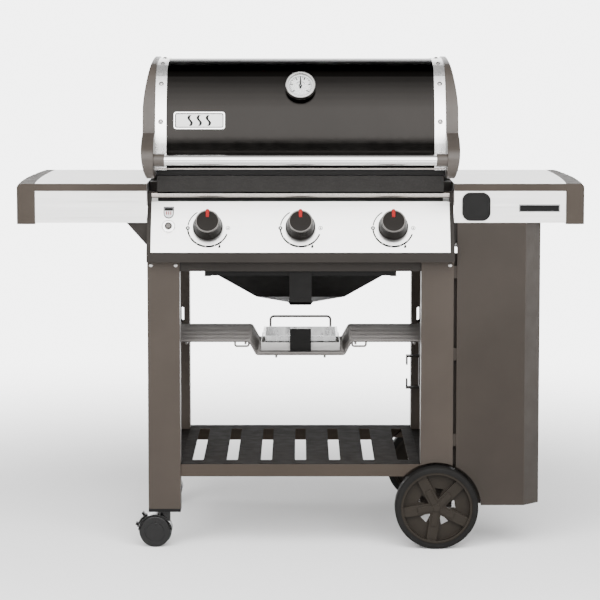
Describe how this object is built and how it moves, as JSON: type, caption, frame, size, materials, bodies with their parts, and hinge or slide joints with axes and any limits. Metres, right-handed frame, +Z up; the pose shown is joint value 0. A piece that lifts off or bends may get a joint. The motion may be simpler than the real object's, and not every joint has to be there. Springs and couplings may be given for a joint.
{
  "type": "gas barbecue grill",
  "caption": "Cart-mounted gas barbecue with a hinged curved lid, knobs on a leaning panel, side tables, slatted shelf, wheels and swivel casters.",
  "frame": {"origin": "on the floor under the centre of the whole object's box", "axes": "+Z up, -Y towards the cook, +X to the cook's right, along the side tables"},
  "size_m": [1.3806, 0.7197, 1.1894],
  "materials": {
    "bronze_paint": "satin powder coat",
    "dark_paint": "satin powder coat",
    "steel_sheet": "fine brushed",
    "lid_enamel": "gloss enamel",
    "casting_paint": "satin paint on a casting",
    "cap_plastic": "fine texture",
    "bright_trim": "satin chrome",
    "black_plastic": "fine texture",
    "knob_plastic": "satin",
    "hub_plastic": "fine texture",
    "tyre_rubber": "matte",
    "cast_firebox": "sand-cast, painted",
    "black_steel": "satin",
    "foil": "rolled foil",
    "wire": "plated wire",
    "plain_steel": "mill finish",
    "grate_iron": "porcelain enamelled",
    "valve_brass": "machined",
    "ceramic": "glazed",
    "badge_white": "gloss",
    "needle_black": "matte"
  },
  "bodies": {
    "cart": {"front_legs": "bronze_paint", "rear_legs": "bronze_paint", "frame_rails": "dark_paint", "leg_end_caps": "black_plastic", "cart_bolts": "plain_steel", "bottom_shelf": "bronze_paint", "wheel_axle": "plain_steel", "cookbox": "cast_firebox", "lid_hinges": "plain_steel", "burners": "plain_steel", "flame_tamers": "plain_steel", "cooking_grates": "grate_iron", "warming_rack": "wire", "igniter_electrodes": "ceramic", "gas_manifold": "plain_steel", "gas_valves": "valve_brass", "control_panel": "steel_sheet", "panel_surround": "dark_paint", "panel_top_rail": "bright_trim", "igniter_socket": "bright_trim", "left_shelf_top": "steel_sheet", "right_shelf_top": "steel_sheet", "shelf_front_trims": "cap_plastic", "shelf_end_caps": "cap_plastic", "shelf_brackets": "dark_paint", "pod_cover": "black_plastic", "tank_panel": "bronze_paint", "tank_hook": "dark_paint", "wire_rack": "wire"},
    "lid": {"lid_shroud": "lid_enamel", "lid_casting_left": "casting_paint", "lid_casting_right": "casting_paint", "lid_trim_bands": "bright_trim", "lid_screws": "bright_trim", "lid_handle_bar": "bright_trim", "handle_posts": "casting_paint", "badge_plate": "badge_white", "thermometer_case": "bright_trim", "thermometer_dial": "badge_white"},
    "needle": {"thermometer_needle": "needle_black"},
    "igniter_button": {"igniter_button": "bright_trim"},
    "grease_tray": {"grease_tray": "black_steel"},
    "catch_pan": {"catch_pan": "plain_steel", "foil_pan": "foil"},
    "stem_left": {"valve_stem_left": "plain_steel"},
    "knob_left": {"knob_left": "knob_plastic"},
    "stem_centre": {"valve_stem_centre": "plain_steel"},
    "knob_centre": {"knob_centre": "knob_plastic"},
    "stem_right": {"valve_stem_right": "plain_steel"},
    "knob_right": {"knob_right": "knob_plastic"},
    "caster_front": {"caster_housing_front": "black_plastic"},
    "caster_wheels_front": {"caster_wheels_front": "black_plastic"},
    "caster_brake_front": {"caster_brake_front": "black_plastic"},
    "wheel_front": {"wheel_hub_front": "hub_plastic", "wheel_tyre_front": "tyre_rubber"},
    "caster_rear": {"caster_housing_rear": "black_plastic"},
    "caster_wheels_rear": {"caster_wheels_rear": "black_plastic"},
    "caster_brake_rear": {"caster_brake_rear": "black_plastic"},
    "wheel_rear": {"wheel_hub_rear": "hub_plastic", "wheel_tyre_rear": "tyre_rubber"}
  },
  "joints": [
    {"name": "lid_hinge", "type": "hinge", "parent": "cart", "child": "lid", "pos_m": [0, 0.274, 0.91], "axis": [-1, 0, 0], "range_deg": [0, 75]},
    {"name": "needle_turn", "type": "hinge", "parent": "lid", "child": "needle", "pos_m": [0, -0.23991, 1.12255], "axis": [0, -0.8434, 0.5373], "range_deg": [-130, 130], "stiffness_Nm_per_rad": 0.002},
    {"name": "knob_turn_left", "type": "hinge", "parent": "cart", "child": "stem_left", "pos_m": [-0.223, -0.28395, 0.78211], "axis": [0, -0.8829, 0.4695], "range_deg": [0, 250]},
    {"name": "knob_push_left", "type": "slide", "parent": "stem_left", "child": "knob_left", "axis": [0, 0.8829, -0.4695], "range_m": [0, 0.003], "stiffness_N_per_m": 2500, "springref_m": -0.002},
    {"name": "knob_turn_centre", "type": "hinge", "parent": "cart", "child": "stem_centre", "pos_m": [0, -0.28395, 0.78211], "axis": [0, -0.8829, 0.4695], "range_deg": [0, 250]},
    {"name": "knob_push_centre", "type": "slide", "parent": "stem_centre", "child": "knob_centre", "axis": [0, 0.8829, -0.4695], "range_m": [0, 0.003], "stiffness_N_per_m": 2500, "springref_m": -0.002},
    {"name": "knob_turn_right", "type": "hinge", "parent": "cart", "child": "stem_right", "pos_m": [0.223, -0.28395, 0.78211], "axis": [0, -0.8829, 0.4695], "range_deg": [0, 250]},
    {"name": "knob_push_right", "type": "slide", "parent": "stem_right", "child": "knob_right", "axis": [0, 0.8829, -0.4695], "range_m": [0, 0.003], "stiffness_N_per_m": 2500, "springref_m": -0.002},
    {"name": "igniter_push", "type": "slide", "parent": "cart", "child": "igniter_button", "axis": [0, 0.8829, -0.4695], "range_m": [0, 0.004], "stiffness_N_per_m": 1500, "springref_m": -0.002},
    {"name": "caster_swivel_front", "type": "hinge", "parent": "cart", "child": "caster_front", "pos_m": [-0.331, -0.2565, 0.08], "axis": [0, 0, 1], "continuous": true},
    {"name": "caster_roll_front", "type": "hinge", "parent": "caster_front", "child": "caster_wheels_front", "pos_m": [-0.355, -0.2565, 0.038], "axis": [0, 1, 0], "continuous": true},
    {"name": "brake_pedal_front", "type": "hinge", "parent": "caster_front", "child": "caster_brake_front", "pos_m": [-0.355, -0.2565, 0.038], "axis": [0, -1, 0], "range_deg": [0, 12]},
    {"name": "wheel_spin_front", "type": "hinge", "parent": "cart", "child": "wheel_front", "pos_m": [0.331, 0, 0.1015], "axis": [0, 1, 0], "continuous": true},
    {"name": "caster_swivel_rear", "type": "hinge", "parent": "cart", "child": "caster_rear", "pos_m": [-0.331, 0.3085, 0.08], "axis": [0, 0, 1], "continuous": true},
    {"name": "caster_roll_rear", "type": "hinge", "parent": "caster_rear", "child": "caster_wheels_rear", "pos_m": [-0.355, 0.3085, 0.038], "axis": [0, 1, 0], "continuous": true},
    {"name": "brake_pedal_rear", "type": "hinge", "parent": "caster_rear", "child": "caster_brake_rear", "pos_m": [-0.355, 0.3085, 0.038], "axis": [0, -1, 0], "range_deg": [0, 12]},
    {"name": "wheel_spin_rear", "type": "hinge", "parent": "cart", "child": "wheel_rear", "pos_m": [0.331, 0, 0.1015], "axis": [0, 1, 0], "continuous": true},
    {"name": "grease_tray_slide", "type": "slide", "parent": "cart", "child": "grease_tray", "axis": [0, -1, 0], "range_m": [0, 0.3]},
    {"name": "catch_pan_slide", "type": "slide", "parent": "cart", "child": "catch_pan", "axis": [0, -1, 0], "range_m": [0, 0.22]}
  ]
}
